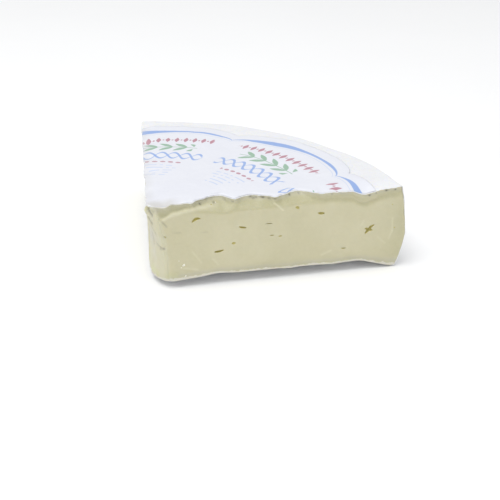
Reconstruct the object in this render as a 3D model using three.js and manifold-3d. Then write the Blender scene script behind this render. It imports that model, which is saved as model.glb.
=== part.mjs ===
// A hand-cut quarter of a flat, round, soft white-rinded cheese, with its printed paper label on top.
// Millimetres, +Z up. The front cut runs along +X and the left cut runs back from the same point. The cheese
// rests on its underside, and the origin is the bottom centre of its box.

import * as THREE from 'three';
import { mergeVertices } from 'three/addons/utils/BufferGeometryUtils.js';
import Module from 'manifold-3d';

// Driving dimensions
const wheel = {
  topRadius: 104.5, // at the top edge of the rim
  height: 37,
  belly: 2.3, // how far the rim swells past its top edge
  bellyHeight: 15.5,
  bellyPower: 1.2, // near 1 for a straight slope up to the top edge
  footIn: 4.2, // how far the foot of the rim tucks in under the belly
  footPower: 1.5,
  wobble: 0.95, // the rim is not a true circle
  flare: 1.1, // the front cut has drawn the rim outwards
  flareReach: 5,
};
const cutAngle = THREE.MathUtils.degToRad(84.3);
const point = {
  frontBlunt: 4.4, // the squashed point: where the front cut starts
  frontFoot: 1.2, // further out just above the board
  frontFootHeight: 3,
  leftBlunt: 12.5, // where the left cut starts
  sharpTop: 1.8, // the rind keeps the point nearly sharp on top
  crown: 0.8, // the squashed facet is slightly round
  footCrown: 1.3, // and rounder near the board
  footCrownHeight: 6,
};
// How far each face's edges round off; the point's upright edges are sharp on top and rounder below
const rounding = { top: 1.2, bottom: 1, cut: 1.1, rim: 1.8, point: 2, sharpPoint: 0.3 };
const paste = {
  hollow: 0.8, // the groove under the rind
  hollowBelow: 2.2, // how far under the rind it lies
  hollowHeight: 1.5,
};
const rind = {
  backPerLift: 2.05, // where the rind's edge is pulled up, the paste rolls back to it
  reach: 5, // how far in from a cut the edge is disturbed
  sagReach: 4.5,
  sagHeight: 12, // below the top
  backHeight: 5,
  liftStarts: 10, // full at this distance from the point
  edgeFades: [103, 112], // and none past the rim
  wave: 0.3, // slow waves over the top
};
// The underside lifts off along both cuts and touches again at the rim
const arch = { rise: 4, fade: 86, end: 105, depth: 27, height: 26 };

// Along each cut, from the point: where the rind hangs down over the paste and where it is pulled back, and
// where the foot of the cut stands a little higher or lower than the arch
const frontEdge = {
  bulge: 0.9, // the soft paste swells out of the cut
  arch: { atPoint: 0.55, full: 28 },
  lift: 1.1,
  liftFades: [64, 80],
  dips: [
    { at: 6.5, by: -1.5, width: 3.2 },
    { at: 13.5, by: -1.15, width: 4.5 },
    { at: 17.3, by: -0.8, width: 1.5 },
    { at: 28.5, by: 1.9, width: 5.2 },
    { at: 35, by: -0.9, width: 2.2 },
    { at: 42.3, by: 1.4, width: 5 },
    { at: 51.8, by: -0.9, width: 2.2 },
    { at: 61.5, by: 1.3, width: 4 },
    { at: 71, by: -0.95, width: 3 },
    { at: 80, by: -0.8, width: 5 },
    { at: 89.5, by: -2.4, width: 4 },
    { at: 94.5, by: -0.8, width: 3.5 },
    { at: 101, by: -0.7, width: 5 },
  ],
  foot: [
    { at: 28, by: 0.6, width: 5 },
    { at: 58.5, by: -0.4, width: 2.6 },
    { at: 77, by: -0.5, width: 5 },
  ],
};
const leftEdge = {
  bulge: 0.5,
  arch: { atPoint: 0, full: 40 },
  lift: 0,
  liftFades: [90, 104],
  dips: [
    { at: 16, by: -0.9, width: 3.4 },
    { at: 38, by: -1.5, width: 3.2 },
    { at: 55, by: -0.8, width: 2.8 },
    { at: 76, by: -1.5, width: 3.4 },
    { at: 95, by: -1.2, width: 3.6 },
  ],
  foot: [
    { at: 30, by: -0.4, width: 5 },
    { at: 62, by: 0.4, width: 4 },
  ],
};

// The eyes that the front cut opens: place along the cut, height, width, tallness, turn in degrees
const frontEyes = [
  { along: 19.1, up: 29.8, wide: 3.6, tall: 1.5, turn: 25 },
  { along: 38.5, up: 25, wide: 3.2, tall: 1, turn: -14 },
  { along: 34.4, up: 17.8, wide: 1.7, tall: 1.3, turn: 0 },
  { along: 28.4, up: 14.3, wide: 3.8, tall: 1.2, turn: 8 },
  { along: 61.3, up: 31.4, wide: 1.6, tall: 1.4, turn: -20 },
  { along: 70.9, up: 27.6, wide: 2.8, tall: 1.3, turn: -5 },
  { along: 92.2, up: 18.4, wide: 5, tall: 2.2, turn: 42 },
  { along: 92.2, up: 18.6, wide: 4, tall: 1.8, turn: -35 },
  { along: 53.8, up: 19.2, wide: 1.7, tall: 0.8, turn: 0 },
  { along: 81.5, up: 9.5, wide: 2.4, tall: 0.9, turn: -3 },
];
// The left cut has its own eyes, drawn from these ranges
const leftEyes = {
  count: 12,
  along: [24, 100],
  up: [9, 30],
  wide: [1.5, 4.4],
  flatness: [0.3, 0.6],
  turn: [-20, 20],
  seed: 7,
};
const eyeDepth = 0.8; // of its width

const label = {
  radius: 96,
  scallop: 8, // depth of the lobes of its edge
  lobes: 8, // on a whole wheel
  firstNotch: THREE.MathUtils.degToRad(10), // the first notch between two lobes
  thickness: 0.4,
  gap: 0.52,
  span: 0.3, // the share of each dip in the rind that the paper bridges
  inset: 1.6, // from each cut
};

const wasm = await Module();
wasm.setup();

const smooth = (from, to, x) => THREE.MathUtils.smoothstep(x, from, to);
const leftDirection = new THREE.Vector2(Math.cos(cutAngle), Math.sin(cutAngle));
const frontInward = new THREE.Vector3(0, 1, 0);
const leftInward = new THREE.Vector3(leftDirection.y, -leftDirection.x, 0);

// The rim's radius at a height: a belly low down, a foot that tucks in
function rimRadius(z) {
  const { topRadius, height, belly, bellyHeight } = wheel;
  if (z > bellyHeight) {
    return topRadius + belly * (1 - ((z - bellyHeight) / (height - bellyHeight)) ** wheel.bellyPower);
  }
  return topRadius + belly - wheel.footIn * ((bellyHeight - z) / bellyHeight) ** wheel.footPower;
}

// Where the front and the left cut start at a height: the point is sharp on top and blunt below
function cutStarts(z) {
  const up = z / wheel.height;
  const foot = point.frontFoot * Math.exp(-z / point.frontFootHeight);
  return {
    front: point.sharpTop + point.frontBlunt * (1 - up ** 6) + foot,
    left: point.sharpTop + point.leftBlunt * (1 - up ** 4),
  };
}

// A place in the wedge with sharp edges, from shares of the angle, the radius and the height
function sharpPlace(across, along, up) {
  const z = wheel.height * up;
  const starts = cutStarts(z);
  const tip = new THREE.Vector2(starts.front, 0);
  tip.lerp(leftDirection.clone().multiplyScalar(starts.left), across);
  const most = point.crown + point.footCrown * Math.exp(-z / point.footCrownHeight);
  const crown = most * Math.min(1, starts.left / point.leftBlunt) * 4 * across * (1 - across);
  tip.addScalar(-crown * Math.SQRT1_2);
  const turn = cutAngle * across;
  const flare = wheel.flare * Math.exp(-(((turn * wheel.topRadius) / wheel.flareReach) ** 2));
  const radius = rimRadius(z) + wheel.wobble * Math.sin(4.2 * turn + 2.3) + flare;
  const rim = new THREE.Vector2(radius * Math.cos(turn), radius * Math.sin(turn));
  const plan = tip.lerp(rim, along);
  return new THREE.Vector3(plan.x, plan.y, z);
}

// Rounds the edges: each face that is near pushes the place inwards
function roundEdges(place, along) {
  const starts = cutStarts(place.z);
  const facet = leftDirection.clone().multiplyScalar(starts.left).sub(new THREE.Vector2(starts.front, 0));
  const pointInward = new THREE.Vector3(facet.y, -facet.x, 0).normalize();
  const rimInward = new THREE.Vector3(-place.x, -place.y, 0).normalize();
  const blunt = 1 - smooth(wheel.height - 8, wheel.height, place.z);
  const faces = [
    [wheel.height - place.z, rounding.top, new THREE.Vector3(0, 0, -1)],
    [place.z, rounding.bottom, new THREE.Vector3(0, 0, 1)],
    [place.dot(frontInward), rounding.cut, frontInward],
    [place.dot(leftInward), rounding.cut, leftInward],
    [wheel.topRadius * (1 - along), rounding.rim, rimInward],
    [wheel.topRadius * along, rounding.sharpPoint + rounding.point * blunt, pointInward],
  ];
  const shares = faces.map(([distance, reach]) => Math.max(0, 1 - Math.max(0, distance) / reach));
  const total = Math.hypot(...shares);
  if (total <= 1) return place;
  faces.forEach(([, reach, inward], i) => {
    place.addScaledVector(inward, reach * shares[i] * (1 - 1 / total));
  });
  return place;
}

// Soft bumps and dips along a line
function bumps(list, distance) {
  return list.reduce((sum, { at, by, width }) => sum + by * Math.exp(-(((distance - at) / width) ** 2)), 0);
}

// How far the rind's edge is pulled up (more than 0) or hangs down (less than 0) along a cut
function edgeLift(edge, distance) {
  const base = edge.lift * smooth(0, rind.liftStarts, distance) * (1 - smooth(...edge.liftFades, distance));
  return (base + bumps(edge.dips, distance)) * (1 - smooth(...rind.edgeFades, distance));
}

// Moves a place near one cut: the paste bulges out, is hollow under the rind and rolls back to it
function cutRelief(edge, distance, depth, z) {
  const { height } = wheel;
  const lift = edgeLift(edge, distance);
  const near = Math.exp(-((depth / rind.reach) ** 2));
  const sagging = Math.exp(-((depth / rind.sagReach) ** 2)) * smooth(height - rind.sagHeight, height, z);
  const back = rind.backPerLift * Math.max(0, lift) * smooth(height - rind.backHeight, height, z);
  const up = z / height;
  const bulge = edge.bulge * Math.sqrt(Math.max(0, 4 * up * (1 - up)));
  const below = height + Math.min(0, lift) - paste.hollowBelow - z;
  const hollow = paste.hollow * Math.exp(-((below / paste.hollowHeight) ** 2));
  const archStarts = THREE.MathUtils.lerp(edge.arch.atPoint, 1, smooth(0, edge.arch.full, distance));
  const archEnds = 1 - smooth(arch.fade, arch.end, distance);
  const archAlong = archStarts * archEnds + bumps(edge.foot, distance) / arch.rise;
  return {
    inwards: (back + hollow - bulge) * near,
    sag: Math.min(0, lift) * sagging,
    arch: archAlong * (1 - smooth(0, arch.depth, depth)),
  };
}

// The whole form: from shares of the angle, the radius and the height to a place on the cheese
function cheesePlace(across, along, up) {
  return relax(roundEdges(sharpPlace(across, along, up), along));
}

// The uneven form that the soft cheese takes, for a place in or on the plain wedge
function relax(place) {
  const { x, y, z } = place;
  const alongLeft = x * leftDirection.x + y * leftDirection.y;
  const front = cutRelief(frontEdge, x, Math.max(0, y), z);
  const left = cutRelief(leftEdge, alongLeft, Math.max(0, place.dot(leftInward)), z);
  const wave = Math.sin(x / 13 + 0.6) * Math.cos(y / 17 - 0.4) + 0.6 * Math.sin((x - y) / 9);
  place.addScaledVector(frontInward, front.inwards).addScaledVector(leftInward, left.inwards);
  const archShare = 1 - (1 - front.arch) * (1 - left.arch);
  place.z += arch.rise * archShare * Math.max(0, 1 - z / arch.height) ** 2;
  place.z += front.sag + left.sag + rind.wave * wave * smooth(wheel.height * 0.6, wheel.height, z);
  return place;
}

// A box whose lattice of shares is sent through a form, so that the result is one closed body
function formedBox(segments, crowding, form) {
  const box = new THREE.BoxGeometry(1, 1, 1, ...segments);
  box.deleteAttribute('normal');
  box.deleteAttribute('uv');
  const solid = mergeVertices(box);
  const places = solid.getAttribute('position');
  for (let i = 0; i < places.count; i += 1) {
    const shares = new THREE.Vector3().fromBufferAttribute(places, i).addScalar(0.5).toArray();
    const [along, across, up] = shares.map((share, axis) => {
      return THREE.MathUtils.lerp(share, (1 - Math.cos(Math.PI * share)) / 2, crowding[axis]);
    });
    places.setXYZ(i, ...form(across, along, up).toArray());
  }
  return solid;
}

function toManifold(geometry) {
  return new wasm.Manifold(new wasm.Mesh({
    numProp: 3,
    vertProperties: new Float32Array(geometry.getAttribute('position').array),
    triVerts: new Uint32Array(geometry.getIndex().array),
  }));
}

function toGeometry(manifold) {
  const mesh = manifold.getMesh();
  const geometry = new THREE.BufferGeometry();
  geometry.setAttribute('position', new THREE.BufferAttribute(new Float32Array(mesh.vertProperties), 3));
  geometry.setIndex(new THREE.BufferAttribute(new Uint32Array(mesh.triVerts), 1));
  return geometry;
}

// A flattened bubble, half in the paste and half out of the cut
function eye(across, { along, up, wide, tall, turn }) {
  const bubble = new THREE.IcosahedronGeometry(0.5, 1);
  bubble.deleteAttribute('normal');
  bubble.deleteAttribute('uv');
  const solid = mergeVertices(bubble);
  solid.scale(wide, wide * eyeDepth, tall).rotateY(-THREE.MathUtils.degToRad(turn));
  if (across === 1) solid.rotateZ(cutAngle);
  const starts = cutStarts(up);
  const start = across === 1 ? starts.left : starts.front;
  const place = cheesePlace(across, (along - start) / (rimRadius(up) - start), up / wheel.height);
  return solid.translate(...place.toArray());
}

// A steady stream of numbers from 0 to 1
function stream(seed) {
  let state = seed;
  return () => {
    state = (state * 16807) % 2147483647;
    return state / 2147483647;
  };
}

function scatteredEyes({ count, along, up, wide, flatness, turn, seed }) {
  const next = stream(seed * 7919);
  const pick = ([low, high]) => low + (high - low) * next();
  return Array.from({ length: count }, (_, i) => {
    const width = pick(wide);
    return {
      along: along[0] + ((along[1] - along[0]) * (i + pick([0.2, 0.8]))) / count,
      up: pick(up),
      wide: width,
      tall: width * pick(flatness),
      turn: pick(turn),
    };
  });
}

function makeCheese() {
  const body = toManifold(formedBox([44, 18, 12], [0.35, 0.75, 0.7], cheesePlace));
  const eyes = [
    ...frontEyes.map((each) => eye(0, each)),
    ...scatteredEyes(leftEyes).map((each) => eye(1, each)),
  ];
  const cut = eyes.reduce((solid, each) => solid.subtract(toManifold(each)), body);
  return new THREE.Mesh(toGeometry(cut), new THREE.MeshStandardMaterial({ color: 0xd8d4b8, roughness: 0.6 }));
}

// The label lies on the rind as far as both cuts, and its outer edge is scalloped
function labelPlace(across, along, up) {
  const turn = cutAngle * across;
  const lobe = Math.abs(Math.sin((label.lobes * (turn - label.firstNotch)) / 2)) ** 0.6;
  const radius = (label.radius - label.scallop * (1 - lobe)) * THREE.MathUtils.lerp(0.01, 1, along);
  const corner = (label.inset * (1 + leftDirection.x)) / leftDirection.y;
  const plan = [corner + radius * Math.cos(turn), label.inset + radius * Math.sin(turn)];
  const place = relax(new THREE.Vector3(...plan, wheel.height));
  place.z += label.gap + label.span * (wheel.height - place.z) + label.thickness * up;
  return place;
}

function makeLabel() {
  const sheet = formedBox([22, 22, 1], [0, 0.4, 0], labelPlace);
  return new THREE.Mesh(sheet, new THREE.MeshStandardMaterial({ color: 0xf4f4fa, roughness: 0.5 }));
}

const camembert = new THREE.Group();
const cheese = makeCheese();
cheese.name = 'cheese';
const paper = makeLabel();
paper.name = 'label';
camembert.add(cheese, paper);

// The origin is the bottom centre of the whole
const box = new THREE.Box3().setFromObject(camembert);
const centre = box.getCenter(new THREE.Vector3());
camembert.position.set(-centre.x, -centre.y, -box.min.z);

export default camembert;
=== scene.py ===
import math

import bmesh
import bpy
import numpy as np
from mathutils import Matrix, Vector
from mathutils.kdtree import KDTree


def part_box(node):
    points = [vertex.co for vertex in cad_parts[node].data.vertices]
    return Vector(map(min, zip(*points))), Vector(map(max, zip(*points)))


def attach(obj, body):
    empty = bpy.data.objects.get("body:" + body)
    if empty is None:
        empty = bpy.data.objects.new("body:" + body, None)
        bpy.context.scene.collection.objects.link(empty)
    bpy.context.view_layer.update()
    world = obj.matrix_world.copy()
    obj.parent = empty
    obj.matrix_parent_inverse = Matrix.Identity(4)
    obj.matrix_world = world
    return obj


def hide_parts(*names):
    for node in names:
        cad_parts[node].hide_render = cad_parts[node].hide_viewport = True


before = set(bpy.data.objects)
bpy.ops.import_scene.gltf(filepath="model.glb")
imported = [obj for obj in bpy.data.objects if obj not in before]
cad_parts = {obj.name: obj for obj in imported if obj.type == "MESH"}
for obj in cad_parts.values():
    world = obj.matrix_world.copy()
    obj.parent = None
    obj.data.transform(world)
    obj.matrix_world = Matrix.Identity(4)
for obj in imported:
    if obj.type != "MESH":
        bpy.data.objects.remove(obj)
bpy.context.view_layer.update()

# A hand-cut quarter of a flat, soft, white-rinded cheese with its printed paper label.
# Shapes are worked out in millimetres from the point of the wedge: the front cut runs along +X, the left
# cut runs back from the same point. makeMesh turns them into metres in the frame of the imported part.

mm = 0.001
upward = np.array([0, 0, 1.0])

# Helpers for meshes


def smoothStep(start, end, x):
    share = np.clip((x - start) / (end - start), 0, 1)
    return share * share * (3 - 2 * share)


def bell(x, middle, width):
    return np.exp(-(((x - middle) / width) ** 2))


def archOver(share):
    # 0 at both ends and 1 in the middle
    return 4 * share * (1 - share)


def softNoise(places, size, seed, stretch=(1, 1, 1)):
    # Smooth values from -1 to 1 with bumps about one size wide, the same on every run
    cells = 32
    table = np.random.default_rng(seed).uniform(-1, 1, (cells, cells, cells))
    # The grid is turned, so that its rows don't follow the cuts
    turned = np.array([[0.80, -0.48, 0.36], [0.60, 0.64, -0.48], [0.0, 0.60, 0.80]])
    at = (places / (size * np.array(stretch))) @ turned
    low = np.floor(at).astype(int)
    share = at - low
    share = share * share * (3 - 2 * share)
    total = np.zeros(len(places))
    for corner in np.ndindex(2, 2, 2):
        weight = np.prod(np.where(np.array(corner, bool), share, 1 - share), axis=-1)
        i, j, k = ((low + corner) % cells).T
        total += weight * table[i, j, k]
    return total


def layeredNoise(places, layers, seed):
    return sum(height * softNoise(places, size, seed + i) for i, (size, height) in enumerate(layers))


def boxLattice(segments, crowding):
    # The surface of a unit box as quads that face outwards; crowding draws the rows towards the edges
    size = np.array(segments) + 1
    quads = []
    for axis in range(3):
        u, v = (axis + 1) % 3, (axis + 2) % 3
        i, j = (g.ravel() for g in np.meshgrid(np.arange(segments[u]), np.arange(segments[v]), indexing="ij"))
        for side in (0, segments[axis]):
            corners = []
            for du, dv in ((0, 0), (1, 0), (1, 1), (0, 1)):
                at = [None] * 3
                at[axis], at[u], at[v] = np.full(i.size, side), i + du, j + dv
                corners.append((at[0] * size[1] + at[1]) * size[2] + at[2])
            quad = np.stack(corners, -1)
            quads.append(quad if side else quad[:, ::-1])
    used, quads = np.unique(np.concatenate(quads), return_inverse=True)
    steps = np.stack([used // (size[1] * size[2]), used // size[2] % size[1], used % size[2]], -1)
    shares = steps / np.array(segments)
    crowding = np.array(crowding)
    shares = shares * (1 - crowding) + (1 - np.cos(np.pi * shares)) / 2 * crowding
    return shares, quads.reshape(-1, 4)


def cornerNormals(places, quads):
    across = np.cross(places[quads[:, 2]] - places[quads[:, 0]], places[quads[:, 3]] - places[quads[:, 1]])
    normals = np.zeros_like(places)
    for corner in range(4):
        np.add.at(normals, quads[:, corner], across)
    return normals / np.maximum(np.linalg.norm(normals, axis=1, keepdims=True), 1e-9)


def makeMesh(name, places, faces, origin):
    mesh = bpy.data.meshes.new(name)
    faces = faces if isinstance(faces, list) else faces.tolist()
    mesh.from_pydata(((places + origin) * mm).tolist(), [], faces)
    mesh.shade_smooth()
    piece = bpy.data.objects.new(name, mesh)
    bpy.context.scene.collection.objects.link(piece)
    return piece


def setAttribute(piece, name, values, kind="FLOAT"):
    attribute = piece.data.attributes.new(name, kind, "POINT")
    field = "vector" if kind == "FLOAT_VECTOR" else "value"
    attribute.data.foreach_set(field, values.astype(np.float32).ravel())


# The form of the cheese, as in the part's source, and its fine relief. Lengths are in millimetres.

cheese = {
    # The rim: a belly low down and a foot that tucks in, not quite round and drawn out at the front cut
    "topRadius": 104.5, "height": 37.0, "belly": 2.3, "bellyHeight": 15.5, "bellyPower": 1.2,
    "footIn": 4.2, "footPower": 1.5, "wobble": 0.95, "wobbleTurns": 4.2, "wobblePhase": 2.3,
    "flare": 1.1, "flareReach": 5.0,
    # The squashed point: where each cut starts, sharp on top and blunt below
    "cutDegrees": 84.3, "sharpTop": 1.8, "frontBlunt": 4.6, "frontPower": 2.5, "frontFoot": 1.2,
    "frontFootHeight": 3.0, "leftBlunt": 12.5, "leftPower": 4, "crown": 0.8, "footCrown": 1.3,
    "footCrownHeight": 6.0,
    # How far in each edge is rounded; the point's own edges are sharp on top and rounder lower down
    "roundTop": 1.2, "roundBottom": 1.0, "roundCut": 1.1, "roundLeft": 0.35, "roundRim": 1.8,
    "roundPoint": 2.0, "roundSharpPoint": 0.3, "roundPointBelow": 8.0,
    # The groove under the rind, and how far in a cut is disturbed
    "hollow": 0.8, "hollowBelow": 2.2, "hollowHeight": 1.5, "reach": 5.0,
    # Where the rind's edge is pulled up the paste rolls back to it, and where it hangs it sags
    "edgeRagged": [(4.0, 0.2), (1.5, 0.16)], "backPerLift": 2.05, "backHeight": 5.5, "backUneven": (7, 1.8),
    "sagReach": 4.5, "sagHeight": 12.0, "overhangHeights": (2.6, 0.6),
    # The underside lifts off along both cuts and touches again at the rim; slow waves run over the top
    "archRise": 4.0, "archFades": (86.0, 105.0), "archDepth": 27.0, "archHeight": 26.0,
    "wave": 0.3, "waveLengths": (13, 17, 9), "waveFrom": 0.6,
    # Each cut's edge: (place along it, rise, width) of the dips of the rind and of the foot
    "front": {
        "bulge": 0.9, "overhang": 0.0, "archAtPoint": 0.55, "archFull": 28.0, "lift": 1.1, "fades": (64, 80),
        "dips": [(6.5, -1.5, 3.2), (13.5, -1.15, 4.5), (17.3, -0.8, 1.5), (28.5, 1.9, 5.2), (35, -0.9, 2.2),
                 (42.3, 1.4, 5), (51.8, -0.9, 2.2), (61.5, 1.3, 4), (71, -0.95, 3), (80, -0.8, 5),
                 (89.5, -2.4, 4), (94.5, -0.8, 3.5), (101, -0.7, 5)],
        "foot": [(28, 0.6, 5), (58.5, -0.4, 2.6), (77, -0.5, 5)],
    },
    "left": {
        "bulge": 0.25, "overhang": 0.85, "archAtPoint": 0.0, "archFull": 40.0, "lift": 0, "fades": (90, 104),
        "dips": [(16, -0.9, 3.4), (38, -1.5, 3.2), (55, -0.8, 2.8), (76, -1.5, 3.4), (95, -1.2, 3.6)],
        "foot": [(30, -0.4, 5), (62, 0.4, 4)],
    },
    "rows": (220, 96, 72), "crowding": (0.35, 0.75, 0.7),
    # Fine relief as (size of the bumps, height)
    "pasteRelief": [(11, 0.2), (4, 0.08), (1.5, 0.03)],
    "pointRelief": [(5, 0.4), (2.2, 0.16)], "pointReliefReach": 4.5,
    "rindRelief": [(7, 0.12), (2.4, 0.06), (1.1, 0.025)],
    # Drags of the knife, stretched along the cuts; creases and pits of the rind on the rim and underside
    "knifeDrag": (1.1, 0.045), "dragStretch": (14, 14, 1), "wideDragStretch": (9, 9, 1),
    "rimCreases": (2.6, 0.16), "creaseStretch": (1, 1, 5), "foldStretch": (1, 1, 4), "foldWidth": 0.12,
    "rimPits": (1.7, 0.14), "pitLevels": (0.35, 0.7),
    # How many times thinner than the look's rindThickness the rind's cut edge is
    "rindThinner": {"front": 3.2, "frontAtPoint": 0.95, "left": 0.8, "foot": 0.68, "footAtPoint": 0.5304,
                    "rim": 4.0, "leftRim": 1.6},
    # The rolled lip of paste under the rind: how far down its edge runs, where it ends, its relief, and the
    # painted highlight on its edge
    "lip": {"down": 2.0, "downAtPoint": 2.8, "start": 7, "fade": 7, "uneven": 0.2, "ends": (21, 33),
            "in": 0.5, "out": 0.22, "paintedHighlight": 0.45},
    # Ripe paste with painted shade under the rind, and painted shade at the foot from these shares of the
    # radius
    "ripeAndShadeDown": (1.7, 4.7), "footShadeStarts": (18 / 105, 45 / 105), "ripeAndShadeUneven": 0.8,
    "rindEdgeOut": 0.1, "footEdgeOut": 0.15, "edgeLine": 0.95,
    # The corner between the front cut and the squashed point
    "corner": [(2.5, 2.1, 32.0), (4.0, 1.4, 26.5), (5.4, 0.1, 20.7), (6.2, -0.2, 16.8), (6.3, 0.0, 6.5)],
    "cornerOut": 0.28, "cornerWidth": 0.8,
    # Creases, dents and drags: start, end, width, depth (below 0 stands out), darkness of their painted shade
    # (below 0 is a painted highlight)
    "marks": [
        ((1.0, 6.9, 33.3), (2.3, 2.4, 32.3), 0.55, 0.7, 1.2),
        ((4.8, 0.1, 30.9), (7.0, -0.7, 28.0), 0.4, 0.25, 0.5),
        ((1.5, 6.6, 29.6), (2.1, 4.4, 27.9), 0.6, 0.7, 1.1),
        ((2.1, 5.7, 26.0), (3.5, 2.9, 24.1), 0.45, 0.4, 0.6),
        ((3.4, 4.1, 18.4), (4.4, 2.0, 17.7), 0.4, 0.35, 0.6),
        ((4.4, 2.0, 17.7), (5.7, 0.0, 18.1), 0.55, 0.5, 0.9),
        ((2.0, 7.5, 22.0), (2.2, 7.0, 17.0), 0.7, 0.25, 0.25),
        ((6.0, -0.2, 23.6), (6.5, -0.3, 23.4), 0.4, 0.15, 0.5),
        ((49.5, 0.3, 35.6), (54.7, -0.5, 30.8), 0.35, -0.16, -0.5),
        ((9.0, -0.7, 25.2), (12.5, -0.7, 24.9), 0.3, 0.1, 0.3),
        ((20.5, -0.8, 24.0), (23.6, -0.8, 24.3), 0.3, 0.1, 0.25),
        ((71.7, -0.8, 9.0), (75.6, -0.8, 10.4), 0.5, -0.12, -0.35),
        ((42.5, -0.4, 33.9), (44.6, -0.4, 33.3), 0.3, 0.12, 0.4),
        ((88.0, -0.8, 20.5), (89.4, -0.8, 23.0), 0.35, -0.1, -0.3),
        ((17.1, -0.8, 16.0), (20.7, -0.8, 10.6), 0.35, -0.1, -0.25),
        ((25.3, -0.8, 12.0), (27.7, -0.8, 9.0), 0.35, -0.1, -0.25),
        ((102.0, -0.8, 23.0), (102.1, -0.8, 17.0), 0.4, -0.12, -0.3),
        ((102.1, -0.8, 17.0), (100.8, -0.8, 13.9), 0.4, -0.12, -0.3),
        ((95.9, -0.8, 14.8), (99.2, -0.8, 11.7), 0.35, -0.1, -0.2),
        ((13.0, -0.7, 9.0), (19.0, -0.7, 7.5), 0.5, -0.1, -0.25),
        ((0.8, 8.0, 33.3), (0.9, 9.0, 31.8), 2.0, -0.75, 0.0),
        ((0.9, 9.5, 30.0), (1.1, 11.0, 28.0), 2.4, -0.4, 0.0),
    ],
    # Grey-brown specks on the rind's edge: place along the front cut, how far down, length, darkness
    "specks": [
        (42.3, -0.1, 1.1, 0.9), (43.4, 0.5, 0.7, 1.1), (44.4, 0.2, 0.8, 0.9), (47.0, 0.0, 1.6, 0.9),
        (49.5, 0.3, 1.0, 0.6), (51.6, 0.2, 1.5, 0.8), (58.3, 0.1, 0.8, 1.3), (62.4, 0.0, 0.6, 0.8),
        (75.5, 0.1, 0.6, 0.6), (91.4, 0.1, 0.8, 1.2), (94.2, 0.0, 0.6, 0.7), (98.7, 0.1, 1.2, 1.0),
        (102.6, 0.2, 0.8, 0.9), (21.3, 0.9, 0.8, 1.0), (26.9, 1.3, 0.8, 0.9), (31.5, 0.4, 0.8, 0.5),
        (34.6, 0.5, 1.4, 0.6),
    ],
    # Where the point is green and where it is grey: middle, reach, share
    "green": [((2.0, 8.2, 5.4), 1.9, 0.9), ((3.4, 4.6, 4.9), 1.6, 0.7), ((7.4, 0.0, 6.0), 1.6, 0.6),
              ((10.0, -0.5, 5.4), 1.5, 0.4), ((1.0, 9.5, 31.5), 2.0, 0.5), ((1.3, 14.0, 9.0), 3.0, 0.35)],
    "grey": [((1.5, 9.6, 20.5), 4.5, 0.9), ((2.4, 5.5, 22.5), 2.5, 0.6), ((2.4, 7.2, 13.6), 2.6, 0.5),
             ((4.0, 0.8, 35.9), 1.6, 0.9), ((7.0, 0.1, 35.9), 1.5, 0.8)],
}
cutAngle = math.radians(cheese["cutDegrees"])
alongFront = np.array([1.0, 0.0, 0.0])
alongLeft = np.array([math.cos(cutAngle), math.sin(cutAngle), 0.0])
frontInward = np.array([0.0, 1.0, 0.0])
leftInward = np.array([alongLeft[1], -alongLeft[0], 0.0])


def rimRadius(z):
    bellyHeight = cheese["bellyHeight"]
    over = np.maximum(z - bellyHeight, 0) / (cheese["height"] - bellyHeight)
    under = np.maximum(bellyHeight - z, 0) / bellyHeight
    high = cheese["belly"] * (1 - over ** cheese["bellyPower"])
    low = cheese["belly"] - cheese["footIn"] * under ** cheese["footPower"]
    return cheese["topRadius"] + np.where(z > bellyHeight, high, low)


def rimAt(turn, z):
    flare = cheese["flare"] * bell(turn * cheese["topRadius"], 0, cheese["flareReach"])
    wobble = cheese["wobble"] * np.sin(cheese["wobbleTurns"] * turn + cheese["wobblePhase"])
    return rimRadius(z) + wobble + flare


def cutStarts(z):
    # How far from the sharp point the front and the left cut start at a height
    up = z / cheese["height"]
    front = cheese["sharpTop"] + cheese["frontBlunt"] * (1 - up ** cheese["frontPower"])
    front = front + cheese["frontFoot"] * np.exp(-z / cheese["frontFootHeight"])
    return front, cheese["sharpTop"] + cheese["leftBlunt"] * (1 - up ** cheese["leftPower"])


def sharpPlace(across, along, up):
    # A place in the wedge with sharp edges, from shares of the angle, the radius and the height
    z = cheese["height"] * up
    front, left = cutStarts(z)
    crown = cheese["crown"] + cheese["footCrown"] * np.exp(-z / cheese["footCrownHeight"])
    crown = crown * np.minimum(1, left / cheese["leftBlunt"]) * archOver(across)
    tipX = front * (1 - across) + alongLeft[0] * left * across - crown * math.sqrt(0.5)
    tipY = alongLeft[1] * left * across - crown * math.sqrt(0.5)
    turn = cutAngle * across
    radius = rimAt(turn, z)
    x = tipX * (1 - along) + radius * np.cos(turn) * along
    y = tipY * (1 - along) + radius * np.sin(turn) * along
    return np.stack([x, y, z], -1)


def roundEdges(places, along):
    # Places near two faces at once are pushed in, so that the edge between the faces is round
    x, y, z = places.T
    flat = np.zeros(len(places))
    front, left = cutStarts(z)
    pointInward = np.stack([alongLeft[1] * left, front - alongLeft[0] * left, flat], -1)
    pointInward /= np.linalg.norm(pointInward, axis=1, keepdims=True)
    rimInward = np.stack([-x, -y, flat], -1)
    rimInward /= np.maximum(np.linalg.norm(rimInward, axis=1, keepdims=True), 1e-9)
    blunt = 1 - smoothStep(cheese["height"] - cheese["roundPointBelow"], cheese["height"], z)
    pointRound = cheese["roundSharpPoint"] + cheese["roundPoint"] * blunt
    sides = [
        (cheese["height"] - z, cheese["roundTop"], -upward),
        (z, cheese["roundBottom"], upward),
        (places @ frontInward, cheese["roundCut"], frontInward),
        (places @ leftInward, cheese["roundLeft"], leftInward),
        (cheese["topRadius"] * (1 - along), cheese["roundRim"], rimInward),
        (cheese["topRadius"] * along, pointRound, pointInward),
    ]
    shares = [np.maximum(0, 1 - np.maximum(0, distance) / reach) for distance, reach, _ in sides]
    push = 1 - 1 / np.maximum(np.sqrt(sum(share ** 2 for share in shares)), 1)
    for (_, reach, inward), share in zip(sides, shares):
        places = places + inward * (reach * share * push)[:, None]
    return places


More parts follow.
